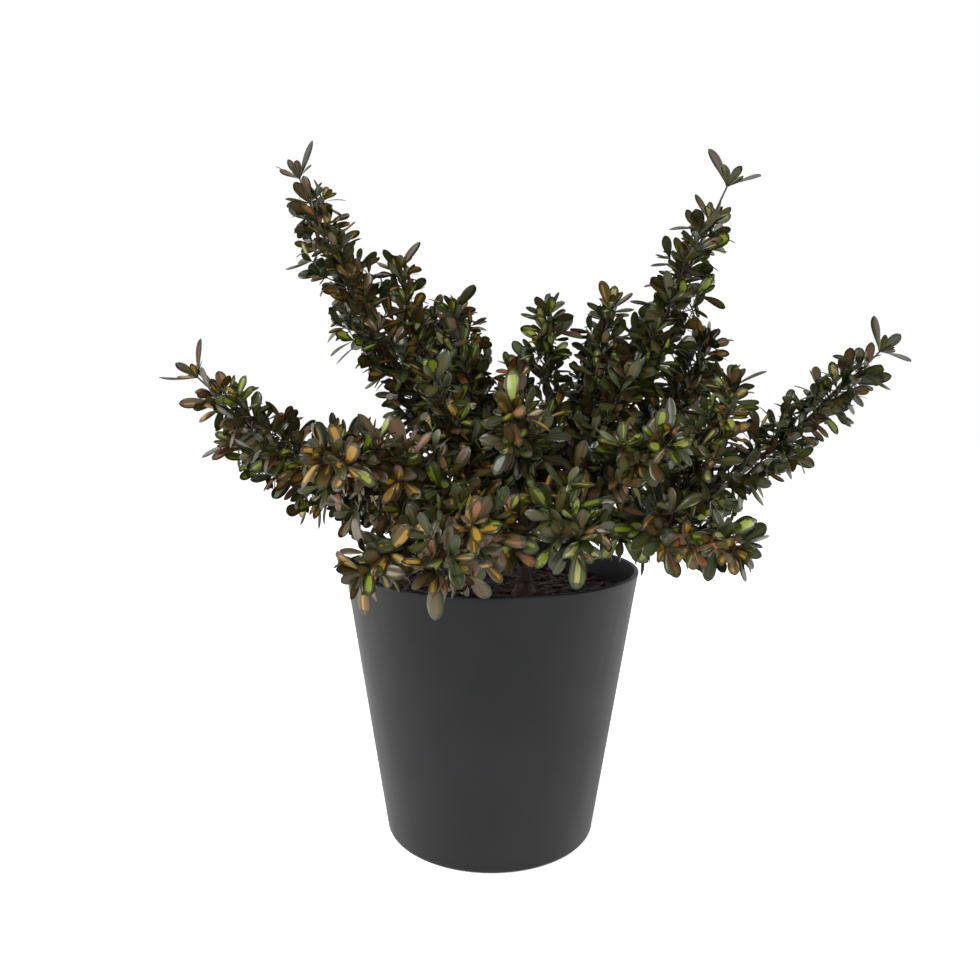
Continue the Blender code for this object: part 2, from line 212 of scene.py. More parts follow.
# Moulded polypropylene: charcoal, a fine even grain, a soft sheen and faint handling marks that
# are drawn out upright
polypropylene, tree, shader = finish("moulded_polypropylene", Specular_IOR_Level=0.17)
place = node(tree, "TexCoord").outputs["Object"]
cloud = node(tree, "TexNoise", Vector=place, Scale=1 / CLOUD_SIZE, Detail=3.0).outputs["Fac"]
grain = node(tree, "TexNoise", Vector=place, Scale=1 / GRAIN_SIZE, Detail=2.0).outputs["Fac"]
drawn = node(tree, "Mapping", Vector=place, Scale=SCUFF_DRAWN).outputs[0]
scuff = node(tree, "TexNoise", Vector=drawn, Scale=1 / SCUFF_SIZE, Detail=6.0).outputs["Fac"]
charcoal = node(tree, "ValToRGB", [(0.30, "#151617"), (0.70, "#1b1b1d")], Fac=cloud).outputs["Color"]
sheen = node(tree, "MapRange", Value=scuff, To_Min=0.42, To_Max=0.56).outputs[0]
relief = node(tree, "Bump", Height=grain, Strength=0.12, Distance=0.0001).outputs[0]
tree.links.new(charcoal, shader.inputs["Base Color"])
tree.links.new(sheen, shader.inputs["Roughness"])
tree.links.new(relief, shader.inputs["Normal"])

points, quads, caps = turned(pot_profile(), POT_SIDES)
pot = mesh_piece("pot_shell", points, quads, [polypropylene], caps)
pot.data.set_sharp_from_angle(angle=POT_CREASE)
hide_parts("pot")


# The potting mix: dark composted bark, uneven and loose. The bed is a turned surface whose top
# rises and falls in small waves, and it fills the pot to 15 mm below the rim.

MIX_LOW, MIX_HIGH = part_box("potting_mix")
MIX_TOP = MIX_HIGH.z
MIX_FALL = 0.002
MIX_WAVE = 0.0012
MIX_SINK = 0.6
MIX_GAP = 0.0006
BED_SIDES = 120
BED_RINGS = 44
BED_MIDDLE = 0.002
BED_CREASE = math.radians(60)
CRUMB_SIZE = 0.004
MOTTLE_SIZE = 0.006


def mix_height(x, y):
    """The bed's top: its level, falling to the edge, plus crossed waves 19, 20 and 9 mm long."""
    reach = np.hypot(x, y) / POT_RIM_RADIUS
    waves = np.sin(x * 310 + y * 120) + np.sin(y * 270 - x * 160 + 1) + np.sin((x + y) * 520 + 2)
    return MIX_TOP - MIX_FALL * reach ** 2 + MIX_WAVE * (waves / 3 - MIX_SINK)


# Composted bark: near-black brown crumbs with paler fibres, dull all over
compost, tree, shader = finish("composted_bark", Roughness=0.95)
place = node(tree, "TexCoord").outputs["Object"]
crumbs = node(tree, "TexVoronoi", Vector=place, Scale=1 / CRUMB_SIZE).outputs["Distance"]
mottle = node(tree, "TexNoise", Vector=place, Scale=1 / MOTTLE_SIZE, Detail=5.0).outputs["Fac"]
browns = [(0.30, "#100b08"), (0.55, "#231812"), (0.80, "#3d2c20")]
relief = node(tree, "Bump", Height=crumbs, Strength=0.9, Distance=0.0015).outputs[0]
tree.links.new(node(tree, "ValToRGB", browns, Fac=mottle).outputs["Color"], shader.inputs["Base Color"])
tree.links.new(relief, shader.inputs["Normal"])

bed_edge = pot_radius(MIX_TOP) - POT_WALL - MIX_GAP
bed_foot = MIX_LOW.z
bed_profile = [(BED_MIDDLE, bed_foot), (pot_radius(bed_foot) - POT_WALL - MIX_GAP, bed_foot)]
bed_profile += [(ring, MIX_TOP) for ring in np.linspace(bed_edge, BED_MIDDLE, BED_RINGS)]
points, quads, caps = turned(bed_profile, BED_SIDES)
points[2:, :, 2] = mix_height(points[2:, :, 0], points[2:, :, 1])
bed = mesh_piece("potting_mix_bed", points, quads, [compost], caps)
bed.data.set_sharp_from_angle(angle=BED_CREASE)
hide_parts("potting_mix")


# Bark chips: flat splinters of pine bark that lie scattered over the mix at all angles.
# Each is a box with its corners pulled about, laid on the bed.

TRUNK_FOOT = np.array([0.0215, -0.022, MIX_TOP])
CHIP_COUNT = 900
CHIP_HALVES = ((0.0015, 0.0060), (0.0010, 0.0028), (0.0004, 0.0010))
CHIP_CORNERS = (0.55, 1.15)
CHIP_TILT = 0.22
CHIP_LIFT = 0.8
CHIP_EDGE = 0.005
CHIP_STEM_GAP = 0.011
LAYER_SIZE = 0.009
FIBRE_SIZE = 0.0009


def bark_chips(count):
    """Corners and quads of the chips: each is centre + three half sides, its corners moved."""
    chance = np.random.default_rng(7)
    reach = (bed_edge - CHIP_EDGE) * np.sqrt(chance.uniform(0, 1, count))
    turn = chance.uniform(0, 2 * np.pi, count)
    centre = np.stack([reach * np.cos(turn), reach * np.sin(turn)], -1)
    centre = centre[np.linalg.norm(centre - TRUNK_FOOT[:2], axis=1) > CHIP_STEM_GAP]
    count = len(centre)
    half = np.stack([chance.uniform(*ends, count) for ends in CHIP_HALVES], -1)
    yaw = chance.uniform(0, 2 * np.pi, count)
    pitch, roll = chance.normal(0, CHIP_TILT, (2, count))
    ahead = np.stack([np.cos(yaw), np.sin(yaw), pitch], -1)
    aside = np.stack([-np.sin(yaw), np.cos(yaw), roll], -1)
    above = np.cross(ahead, aside)
    ways = np.stack([ahead, aside, above], 1) * half[:, :, None]
    height = mix_height(centre[:, 0], centre[:, 1]) + half[:, 2] * CHIP_LIFT
    corner = np.array([(x, y, z) for z in (-1, 1) for x, y in ((-1, -1), (1, -1), (1, 1), (-1, 1))])
    moved = corner * chance.uniform(*CHIP_CORNERS, (count, 8, 3))
    points = np.column_stack([centre, height])[:, None] + np.einsum("cki,cij->ckj", moved, ways)
    box = np.array([(3, 2, 1, 0), (4, 5, 6, 7), (0, 1, 5, 4), (1, 2, 6, 5), (2, 3, 7, 6), (3, 0, 4, 7)])
    return points, (box + 8 * np.arange(count)[:, None, None]).reshape(-1, 4)


# Pine bark: weathered chips, from red-brown to grey, dull
pine, tree, shader = finish("pine_bark", Roughness=0.85)
place = node(tree, "TexCoord").outputs["Object"]
layers = node(tree, "TexNoise", Vector=place, Scale=1 / LAYER_SIZE, Detail=4.0).outputs["Fac"]
fibre = node(tree, "TexNoise", Vector=place, Scale=1 / FIBRE_SIZE, Detail=4.0).outputs["Fac"]
browns = [(0.30, "#1b120d"), (0.52, "#3a281d"), (0.72, "#5b4433")]
relief = node(tree, "Bump", Height=fibre, Strength=0.6, Distance=0.0004).outputs[0]
tree.links.new(node(tree, "ValToRGB", browns, Fac=layers).outputs["Color"], shader.inputs["Base Color"])
tree.links.new(relief, shader.inputs["Normal"])

points, quads = bark_chips(CHIP_COUNT)
chips = mesh_piece("bark_chips", points, quads, [pine])
chips.data.shade_flat()


# The stem and boughs: dark red-brown wood with shallow ridges and a swelling at each old leaf
# node. They are tubes along the arms' own lines, from the mix to where each arm's foliage ends.

CLEARANCE = 0.0003
TRUNK_RISE = 0.074
TRUNK_LEAN = np.array([-0.002, 0.010, 0.0])
TRUNK_RADII = (0.0045, 0.0034)
TRUNK_FLARE = 0.0040
TRUNK_FLARE_HEIGHT = 0.0045
TRUNK_SIDES = 40
TRUNK_STEP = 0.0006
BOUGH_RADIUS = 0.0023
FORK_RADIUS = 0.0016
TIP_RADIUS = 0.0006
BOUGH_SIDES = 12
BOUGH_STEP = 0.0016
WANDER = 0.003
WANDER_TURNS = 1.3
LEAF_NODE_SPACING = 0.0085
RIDGE_DEPTH = 0.035
CRUMPLE_DEPTH = 0.02
SWELLING = 0.14
SWELLING_SHARE = 0.09
TONE_SIZE = 0.007
FLECK_SIZE = 0.0013


class Arm(NamedTuple):
    """An arm of the shrub, as in the solids, with the tint of its leaves and its place in view.

    heading is in degrees, 0 to the right and 90 to the back. knee and tip are (reach from
    the main stem, height over the mix). fork and bare are shares of the parent's and own line.
    """
    name: str
    parent: str
    fork: float
    heading: float
    knee: tuple
    tip: tuple
    bare: float
    spread: float
    tint: str
    side: str


ARMS = [
    Arm("upper_left", "trunk", 0.74, 167, (0.090, 0.118), (0.158, 0.276), 0.32, 0.031, "bronze", "left"),
    Arm("left", "trunk", 0.41, 183, (0.115, 0.050), (0.210, 0.140), 0.36, 0.029, "bronze", "left"),
    Arm("upper_right", "trunk", 0.58, 8, (0.052, 0.088), (0.132, 0.268), 0.38, 0.029, "dusk", "right"),
    Arm("right", "trunk", 0.41, -1, (0.125, 0.048), (0.226, 0.160), 0.42, 0.030, "dusk", "right"),
    Arm("upper_left_inner", "upper_left", 0.26, 152, (0.080, 0.140), (0.100, 0.216), 0.28, 0.025,
        "bronze", "left"),
    Arm("left_low", "left", 0.32, 171, (0.145, 0.062), (0.202, 0.097), 0.16, 0.027, "bronze", "left"),
    Arm("centre_left_back", "trunk", 0.86, 141, (0.045, 0.100), (0.062, 0.188), 0.28, 0.027,
        "lime", "centre"),
    Arm("right_back", "upper_right", 0.32, 20, (0.112, 0.112), (0.135, 0.168), 0.20, 0.026,
        "lime", "right"),
    Arm("right_upper", "right", 0.36, -5, (0.122, 0.080), (0.130, 0.136), 0.16, 0.026, "lime", "right"),
    Arm("centre_right", "trunk", 0.83, 58, (0.028, 0.098), (0.028, 0.184), 0.24, 0.027,
        "cream", "centre"),
    Arm("centre_right_back", "trunk", 0.70, 40, (0.054, 0.095), (0.079, 0.192), 0.34, 0.028,
        "cream", "centre"),
    Arm("front_left", "trunk", 0.51, -138, (0.070, 0.080), (0.148, 0.096), 0.32, 0.031,
        "gold", "front"),
    Arm("front_left_low", "trunk", 0.24, -112, (0.078, 0.070), (0.132, 0.040), 0.38, 0.031,
        "gold", "front"),
    Arm("front_left_end", "front_left_low", 0.28, -128, (0.090, 0.064), (0.142, 0.036), 0.24, 0.029,
        "gold", "front"),
    Arm("front_right_low", "trunk", 0.27, -31, (0.080, 0.066), (0.138, 0.044), 0.38, 0.031,
        "lime", "front"),
    Arm("front", "trunk", 0.39, -74, (0.055, 0.078), (0.096, 0.050), 0.38, 0.029, "lime", "front"),
    Arm("front_right", "trunk", 0.48, -40, (0.050, 0.080), (0.102, 0.104), 0.30, 0.030,
        "lime", "front"),
    Arm("centre_left", "trunk", 0.64, -161, (0.042, 0.080), (0.062, 0.140), 0.30, 0.028,
        "lime", "centre"),
    Arm("centre_front", "trunk", 0.78, -100, (0.030, 0.092), (0.058, 0.120), 0.28, 0.028,
        "lime", "centre"),
    Arm("leader", "trunk", 1.00, 101, (0.020, 0.109), (0.028, 0.148), 0.00, 0.025,
        "bronze", "centre"),
    Arm("back", "trunk", 0.46, 95, (0.075, 0.060), (0.155, 0.126), 0.38, 0.031, "gold", "back"),
    Arm("back_left", "trunk", 0.27, 145, (0.100, 0.050), (0.176, 0.096), 0.40, 0.031,
        "bronze", "back"),
    Arm("back_right", "trunk", 0.34, 62, (0.080, 0.065), (0.160, 0.156), 0.42, 0.031,
        "lime", "back"),
    Arm("upper_back", "back", 0.30, 122, (0.078, 0.120), (0.126, 0.190), 0.26, 0.030,
        "bronze", "back"),
    Arm("back_right_low", "back_right", 0.32, 36, (0.125, 0.070), (0.182, 0.108), 0.20, 0.030,
        "dusk", "back"),
]
ARM_NAMED = {arm.name: arm for arm in ARMS}


def trunk_line(share):
    """The main stem's middle: foot + rise times the share + lean times the share squared."""
    share = np.asarray(share, float)[..., None]
    foot = TRUNK_FOOT + np.array([0, 0, CLEARANCE])
    return foot + share * [0, 0, TRUNK_RISE] + TRUNK_LEAN * share ** 2


def trunk_radius(share):
    """The main stem's radius: an even taper, plus a root flare that dies away over 5 mm."""
    taper = TRUNK_RADII[0] + (TRUNK_RADII[1] - TRUNK_RADII[0]) * share
    return taper + TRUNK_FLARE * np.exp(-TRUNK_RISE * share / TRUNK_FLARE_HEIGHT)


def placed(arm, reach, rise):
    """The point at a reach and height on the arm's heading."""
    turn = math.radians(arm.heading)
    return TRUNK_FOOT + [reach * math.cos(turn), reach * math.sin(turn), rise]


def arm_line(arm, share):
    """The arm's middle: a quadratic bend by its knee to its tip, plus a small sideways wander."""
    share = np.asarray(share, float)[..., None]
    if arm.parent == "trunk":
        start = trunk_line(arm.fork)
    else:
        start = arm_line(ARM_NAMED[arm.parent], arm.fork)
    rest = 1 - share
    bend = start * rest ** 2 + placed(arm, *arm.knee) * (2 * share * rest)
    turn = math.radians(arm.heading)
    aside = np.array([-math.sin(turn), math.cos(turn), 0.4])
    swing = np.sin(2 * np.pi * WANDER_TURNS * share + turn) - math.sin(turn)
    return bend + placed(arm, *arm.tip) * share ** 2 + aside * (WANDER * 4 * share * rest * swing)


def arm_radius(arm, share):
    """The arm's radius: from its fork's, falling to its tip's with the share to the power 0.8."""
    base = BOUGH_RADIUS if arm.parent == "trunk" else FORK_RADIUS
    return base + (TIP_RADIUS - base) * np.asarray(share, float) ** 0.8


def aside_of(arm):
    """The level direction square to the arm's heading, which its line never runs along."""
    turn = math.radians(arm.heading)
    return np.array([-math.sin(turn), math.cos(turn), 0.0])


def unit(vectors):
    """Vectors divided by their lengths."""
    return vectors / np.linalg.norm(vectors, axis=-1, keepdims=True)


def tube(line, radius, aside):
    """Points of a round bar: ring k is line k + radius(k, angle) in the plane across the line."""
    way = unit(np.gradient(line, axis=0))
    across = unit(aside - way * (way @ aside)[:, None])
    up = np.cross(way, across)
    angle = np.linspace(0, 2 * np.pi, radius.shape[1], endpoint=False)
    out = across[:, None] * np.cos(angle)[:, None] + up[:, None] * np.sin(angle)[:, None]
    return line[:, None] + out * radius[..., None]


def barked(radius, run, sides, seed):
    """A radius with relief, over the run along the bar and the angle round it.

    Five and nine shallow ridges drift round the bar and fade in and out, a finer crumple is
    3 mm long, and a swelling stands at each old leaf node.
    """
    angle = np.linspace(0, 2 * np.pi, sides, endpoint=False)
    run = run[:, None]
    ridges = np.sin(5 * angle + run * 260 + seed) + 0.7 * np.sin(9 * angle - run * 470 + 2 * seed)
    crumple = 0.5 * np.sin(run * 1900 + 3 * np.sin(2 * angle + seed))
    beat = np.abs(((run / LEAF_NODE_SPACING + seed) % 1) - 0.5)
    swelling = SWELLING * np.exp(-(beat / SWELLING_SHARE) ** 2)
    return radius[:, None] * (1 + RIDGE_DEPTH * ridges + CRUMPLE_DEPTH * crumple + swelling)


def barked_limb(line_at, radius_at, aside, sides, step, seed):
    """A tube with bark relief along a line, its rings a step apart."""
    coarse = line_at(np.linspace(0, 1, 40))
    length = np.linalg.norm(np.diff(coarse, axis=0), axis=1).sum()
    share = np.linspace(0, 1, max(4, round(length / step)))
    line = line_at(share)
    run = np.concatenate([[0], np.cumsum(np.linalg.norm(np.diff(line, axis=0), axis=1))])
    points = tube(line, barked(radius_at(share), run, sides, seed), aside)
    last = (len(share) - 1) * sides + np.arange(sides)
    return points, grid(len(share), sides, wrap=True), [np.arange(sides)[::-1], last]


def joined(parts):
    """Several (points, quads, caps) as one, each part's indices moved past those before it."""
    points, quads, caps, count = [], [], [], 0
    for part_points, part_quads, part_caps in parts:
        points.append(part_points.reshape(-1, 3))
        quads.append(part_quads + count)
        caps += [cap + count for cap in part_caps]
        count += len(points[-1])
    return np.concatenate(points), np.concatenate(quads), caps


# Coprosma bark: thin, dull, dark red-brown to near black, with grey flecks
bark, tree, shader = finish("coprosma_bark", Roughness=0.72)
place = node(tree, "TexCoord").outputs["Object"]
tone = node(tree, "TexNoise", Vector=place, Scale=1 / TONE_SIZE, Detail=5.0).outputs["Fac"]
fleck = node(tree, "TexNoise", Vector=place, Scale=1 / FLECK_SIZE, Detail=3.0).outputs["Fac"]
browns = [(0.32, "#1f1512"), (0.55, "#3f2b24"), (0.74, "#5a4339")]
relief = node(tree, "Bump", Height=fleck, Strength=0.7, Distance=0.0003).outputs[0]
tree.links.new(node(tree, "ValToRGB", browns, Fac=tone).outputs["Color"], shader.inputs["Base Color"])
tree.links.new(relief, shader.inputs["Normal"])

limb_parts = [barked_limb(trunk_line, trunk_radius, np.array([1.0, 0, 0]), TRUNK_SIDES, TRUNK_STEP, 0.5)]
for index, arm in enumerate(ARMS):
    limb_parts.append(barked_limb(partial(arm_line, arm), partial(arm_radius, arm), aside_of(arm),
                                  BOUGH_SIDES, BOUGH_STEP, 1.7 * index))
points, quads, caps = joined(limb_parts)
limbs = mesh_piece("stem_and_boughs", points, quads, [bark], caps)
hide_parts("trunk", *["bough_" + arm.name for arm in ARMS if arm.bare > 0])


# The twigs: thin wood that reddens with age, five-sided tubes with one bend each, rooted in the
# middle of the limb that bears them. They stand in crossed pairs along each arm, and their
# leaves in crossed pairs along them with a tuft at the end, within the arm's own space.

TWIG_SPACING = 0.0062
FIRST_TWIG = 0.45
FOOT_BELOW_BARE = 0.14
LOWEST_FOOT = 0.10
TWIG_ANGLE = math.radians(56)
TWIG_ANGLE_RANGE = (0.80, 1.15)
TWIG_SWING = 0.25
TWIG_LIFT = 0.12
TWIG_LENGTHS = (0.004, 0.021)
TWIG_STANDS = (0.55, 1.20)
TWIG_BEND = 0.07
TWIG_RADII = (0.00065, 0.00040)
TWIG_SIDES = 5
TWIG_RINGS = 4
YOUNG_TONE_SIZE = 0.010
LEAF_LENGTH = 0.0210
LEAF_SCALES = (0.88, 1.08)
LEAF_BEYOND_TWIG = 0.7
TIP_SHRINK = 0.12
PAIR_SPACING = 0.0046
PAIR_FIRST = 0.6
PAIR_DEGREES = (48, 72)
PAIR_SCALES = (0.78, 1.08)
TUFT_LEANS = (0.35, 0.60)
TUFT_OUTER_LEAN = 0.25
TUFT_INNER_SCALE = 0.72
TUFT_SCALES = (0.80, 1.10)
END_TUFT_SCALES = (1.15, 0.75)
SPRAY_SHARE = 0.6
OWN_REACH = 1.25
OWN_OVERLAP = 1.20
WALL_GAP = 0.002
RIM_GAP = 0.001
FOOT_FULLNESS = 0.75
TIP_NARROWING = 0.55

# The share of each long arm's line where its side twigs stop, below the tuft at its tip
BARE_TIPS = {"upper_right": 0.93, "right": 0.95, "upper_left": 0.96, "left": 0.96}

# How often a leaf's centre has each colour, by the tint of its arm
CENTRES = ["moss", "olive", "umber", "lime", "gold", "amber", "cream"]
TINTS = {
    "bronze": {"olive": 6, "umber": 4, "moss": 3, "gold": 2, "lime": 2, "amber": 1},
    "dusk": {"olive": 7, "moss": 4, "umber": 3, "lime": 1, "cream": 1},
    "lime": {"olive": 5, "moss": 4, "lime": 4, "gold": 2, "umber": 2, "amber": 1, "cream": 1},
    "cream": {"olive": 5, "moss": 4, "umber": 2, "cream": 2, "lime": 2, "gold": 1},
    "gold": {"umber": 5, "olive": 4, "gold": 3, "amber": 2, "moss": 1, "lime": 2},
}
LINES = np.stack([arm_line(arm, np.linspace(arm.bare, 1, 11)) for arm in ARMS])
SPREADS = np.array([arm.spread for arm in ARMS])


def in_own_space(index, point):
    """True where a point is within the arm's reach and about as near to its line as to others'."""
    near = np.linalg.norm(LINES - point, axis=2).min(1) / SPREADS
    return near[index] <= min(OWN_REACH, OWN_OVERLAP * near.min())


def clear_of_pot(point):
    """True where a point is above the mix and outside the pot's wall."""
    reach = math.hypot(point[0], point[1])
    edge = pot_radius(point[2])
    if reach > edge + WALL_GAP:
        return True
    if reach > edge - POT_WALL - WALL_GAP:
        return point[2] > POT_HEIGHT + RIM_GAP
    return point[2] > MIX_TOP + WALL_GAP


def fullness(share):
    """How far the foliage stands out along its stem: nearly full at its foot, narrow at its tip.

    It rises evenly from the foot's fullness to 1, and narrows with the share to the power 3.
    """
    return min(1.0, FOOT_FULLNESS + share) * (1 - TIP_NARROWING * share ** 3)


def turned_about(axis, angle, vector):
    """A vector turned about a unit axis."""
    return np.array(Matrix.Rotation(angle, 3, Vector(axis)) @ Vector(vector))


class Growth:
    """The twigs and leaves of one arm: plain lists, a row for each."""

    def __init__(self, index):
        self.index = index
        self.arm = ARMS[index]
        self.chance = random.Random("leaves " + self.arm.name)
        self.twigs = []
        self.leaves = []

    def pick(self):
        """One of the centre colours, by the arm's tint."""
        tint = TINTS[self.arm.tint]
        return CENTRES.index(self.chance.choices(list(tint), list(tint.values()))[0])

    def centre(self, spray):
        """A leaf's centre colour: mostly its spray's, or another of the arm's."""
        if self.chance.random() < SPRAY_SHARE:
            return spray
        return self.pick()

    def leaf(self, root, along, facing, size, centre):
        """Keeps a leaf that stays in its space: root, way, upper side, length, centre colour."""
        along = unit(along)
        tip = root + along * size
        if not (in_own_space(self.index, tip) and clear_of_pot(tip)):
            return
        if not clear_of_pot(root + along * (0.5 * size)):
            return
        upward = facing - along * (along @ facing)
        self.leaves.append((root, along, unit(upward), size, centre))

    def tuft(self, root, way, side, size, spray):
        """Four leaves spread round the end of a twig, the outer pair larger and leaning more."""
        for k in range(4):
            outer = k < 2
            out = turned_about(way, math.pi * (k % 2) + math.pi / 2 * (k // 2), side)
            lean = self.chance.uniform(*TUFT_LEANS) + TUFT_OUTER_LEAN * outer
            along = way * (1 - 0.4 * lean) + out * lean
            facing = way * 1.2 - out + np.array([0, 0, 0.4])
            scale = self.chance.uniform(*TUFT_SCALES) * (1.0 if outer else TUFT_INNER_SCALE)
            self.leaf(root, along, facing, size * scale, self.centre(spray))

    def twig(self, start, way, length, size):
        """A bent side twig with crossed pairs of leaves, and a tuft at its end."""
        end = start + way * length
        if not (in_own_space(self.index, end) and clear_of_pot(end)):
            return
        bend = np.array([self.chance.uniform(-1, 1) for _ in range(3)]) * (TWIG_BEND * length)
        self.twigs.append((start, start + way * (0.5 * length) + bend, end))
        side = unit(np.cross(way, [0.2, 0.3, 1.0]))
        side = turned_about(way, self.chance.uniform(0, math.pi), side)
        spray = self.pick()
        pairs = max(1, int(length / PAIR_SPACING))
        for k in range(pairs):
            share = (k + PAIR_FIRST) / (pairs + PAIR_FIRST)
            root = start + way * (length * share) + bend * (4 * share * (1 - share))
            across = turned_about(way, math.pi / 2 * (k + 1), side)
            for sign in (-1, 1):
                angle = math.radians(self.chance.uniform(*PAIR_DEGREES))
                along = way * math.cos(angle) + across * (sign * math.sin(angle))
                facing = way - across * (0.5 * sign) + np.array([0, 0, 0.6])
                scale = self.chance.uniform(*PAIR_SCALES)
                self.leaf(root, along, facing, size * scale, self.centre(spray))
        self.tuft(end, way, side, size, spray)

    def grow(self):
        """Side twigs in crossed pairs along the arm, as long as its fullness asks, and two
        tufts at its tip, one within the other."""
        arm, chance = self.arm, self.chance
        first = max(LOWEST_FOOT, arm.bare - FOOT_BELOW_BARE)
        coarse = arm_line(arm, np.linspace(first, 1, 60))
        length = np.linalg.norm(np.diff(coarse, axis=0), axis=1).sum()
        count = round(length / TWIG_SPACING)
        roll = chance.uniform(0, math.pi)
        for k in range(count):
            share = first + (1 - first) * (k + FIRST_TWIG) / count
            if share > BARE_TIPS.get(arm.name, 1.0):
                break
            part = max(0.0, (share - arm.bare) / (1 - arm.bare))
            point, ahead = arm_line(arm, [share, share + 0.002])
            along = unit(ahead - point)
            side = unit(np.cross(along, aside_of(arm)))
            size = LEAF_LENGTH * (1.0 - TIP_SHRINK * part) * chance.uniform(*LEAF_SCALES)
            for sign in (0, math.pi):
                out = turned_about(along, roll + sign + chance.uniform(-TWIG_SWING, TWIG_SWING), side)
                angle = TWIG_ANGLE * chance.uniform(*TWIG_ANGLE_RANGE)
                way = unit(along * math.cos(angle) + out * math.sin(angle) + [0, 0, TWIG_LIFT])
                stand = arm.spread * fullness(part) * chance.uniform(*TWIG_STANDS)
                reach = (stand - LEAF_BEYOND_TWIG * size) / math.sin(angle)
                self.twig(point, way, min(TWIG_LENGTHS[1], max(TWIG_LENGTHS[0], reach)), size)
            roll += math.pi / 2
        tip, before = arm_line(arm, [1.0, 0.97])
        way = unit(tip - before)
        side = unit(np.cross(way, aside_of(arm)))
        for k, scale in enumerate(END_TUFT_SCALES):
            out = turned_about(way, math.pi / 4 * k, side)
            self.tuft(tip, way, out, LEAF_LENGTH * scale, self.pick())


def twig_tubes(rows):
    """Points and quads of the twigs: each follows a quadratic bend through three points."""
    start, middle, end = np.moveaxis(np.array(rows), 1, 0)[:, :, None]
    share = np.linspace(0, 1, TWIG_RINGS)[:, None]
    line = start * (1 - share) ** 2 + middle * (2 * share * (1 - share)) + end * share ** 2
    way = unit(end - start)
    across = unit(np.cross(way, [0.31, 0.17, 0.93]))
    up = np.cross(way, across)
    angle = np.linspace(0, 2 * np.pi, TWIG_SIDES, endpoint=False)[:, None]
    radius = TWIG_RADII[0] + (TWIG_RADII[1] - TWIG_RADII[0]) * share[:, :, None]
    ring = across[:, :, None] * np.cos(angle) + up[:, :, None] * np.sin(angle)
    first = TWIG_RINGS * TWIG_SIDES * np.arange(len(rows))[:, None, None]
    quads = grid(TWIG_RINGS, TWIG_SIDES, wrap=True) + first
    return line[:, :, None] + ring * radius, quads.reshape(-1, 4)


# Young wood: smooth, red-brown shading to olive
young, tree, shader = finish("young_wood", Roughness=0.5)
place = node(tree, "TexCoord").outputs["Object"]
tone = node(tree, "TexNoise", Vector=place, Scale=1 / YOUNG_TONE_SIZE, Detail=3.0).outputs["Fac"]
browns = [(0.35, "#2c1c16"), (0.55, "#4a3026"), (0.75, "#4b4a26")]
tree.links.new(node(tree, "ValToRGB", browns, Fac=tone).outputs["Color"], shader.inputs["Base Color"])

growths = [Growth(index) for index in range(len(ARMS))]
for growth in growths:
    growth.grow()
points, quads = twig_tubes([twig for growth in growths for twig in growth.twigs])
mesh_piece("twigs", points, quads, [young])


# The leaves: waxy blades, blunt at the tip and narrow at the foot, with a dark margin and a
# centre of lime, gold, amber, cream, bronze or green. One grid is bent and placed for each leaf,
# and the leaves of each side of the plant are one piece.

LEAF_STATIONS = np.array([0.0, 0.15, 0.30, 0.45, 0.60, 0.74, 0.86, 0.95, 1.0])
LEAF_WIDTH_SHARE = 0.41
LEAF_WIDTHS = (0.85, 1.12)
STALK_WIDTH = 0.07
OUTLINE_PEAK = 0.306
MARGIN_EDGES = (0.66, 0.88)
CENTRE_EDGES = (0.25, 0.55)
ARCHES = (-0.08, 0.30)
FOLDS = (0.10, 0.50)
MARGIN_ROLL = 0.30
TWISTS = (-0.25, 0.25)
PLAIN_STRIPS = 0.25
WIDE_CENTRES = 0.30
BLADES = {
    "leaf_margin_green": "#20280f",
    "leaf_margin_dusk": "#2c2111",
    "leaf_fern": "#414a15",
    "leaf_bronze": "#554117",
    "leaf_moss": "#333a14",
    "leaf_olive": "#433a16",
    "leaf_umber": "#53391f",
    "leaf_lime": "#7a8424",
    "leaf_gold": "#967420",
    "leaf_amber": "#815226",
    "leaf_cream": "#928c52",
}
BETWEEN = {"moss": "margin_green", "olive": "moss", "umber": "olive", "lime": "fern",
           "gold": "bronze", "amber": "bronze", "cream": "fern"}


def leaf_half_width(share):
    """The outline: share^1.3 times (1 - share)^0.6, scaled to 1 at its widest, on a thin stalk."""
    outline = share ** 1.3 * (1 - share) ** 0.6 / OUTLINE_PEAK
    return np.maximum(outline, STALK_WIDTH)


